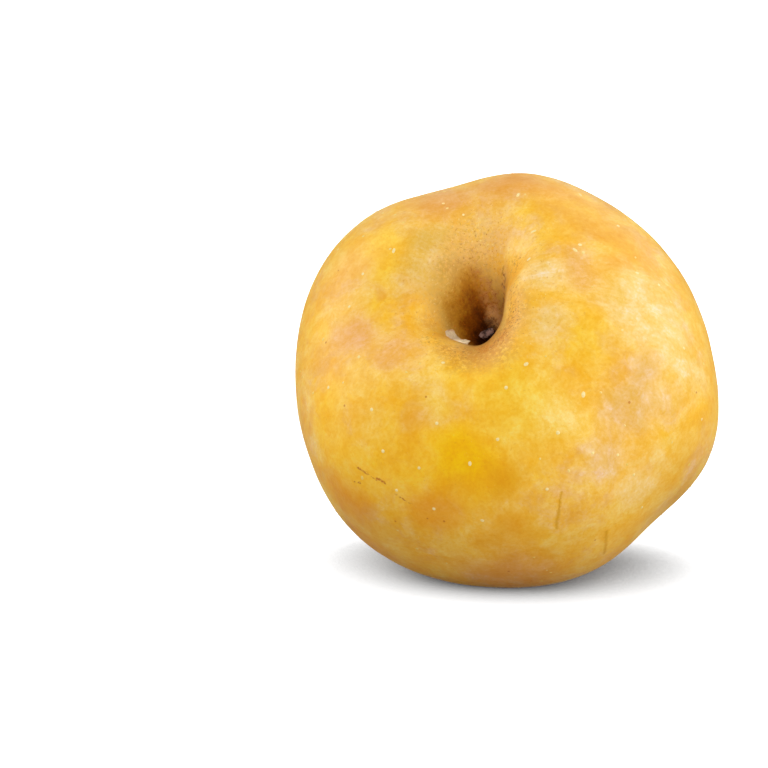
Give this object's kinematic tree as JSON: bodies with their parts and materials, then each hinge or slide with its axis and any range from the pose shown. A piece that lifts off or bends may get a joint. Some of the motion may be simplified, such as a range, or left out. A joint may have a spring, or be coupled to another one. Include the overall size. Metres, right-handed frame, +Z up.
{
  "type": "apple",
  "caption": "Whole ripe apple with a yellow, softly russeted skin, lying tipped so that its deep stalk cavity with a short stalk faces forward and up.",
  "frame": {"origin": "a point on the small flat spot that the apple rests on, straight below the middle of its widest girth", "axes": "+Z up, -Y forward, the way that the stalk cavity faces, +X to the right as seen from the front"},
  "size_m": [0.0843, 0.0808, 0.0801],
  "materials": {
    "skin": "satin waxy skin, yellow mottled with gold, tan and russet, with pale dots",
    "stalk": "dry dark brown stalk with a grey-brown cut end",
    "bract": "dry pale cream papery flake",
    "sepals": "dry dark brown sepals with grey down"
  },
  "bodies": {
    "root": {"apple": "skin", "stalk": "stalk", "bract": "bract", "calyx": "sepals"}
  },
  "joints": []
}
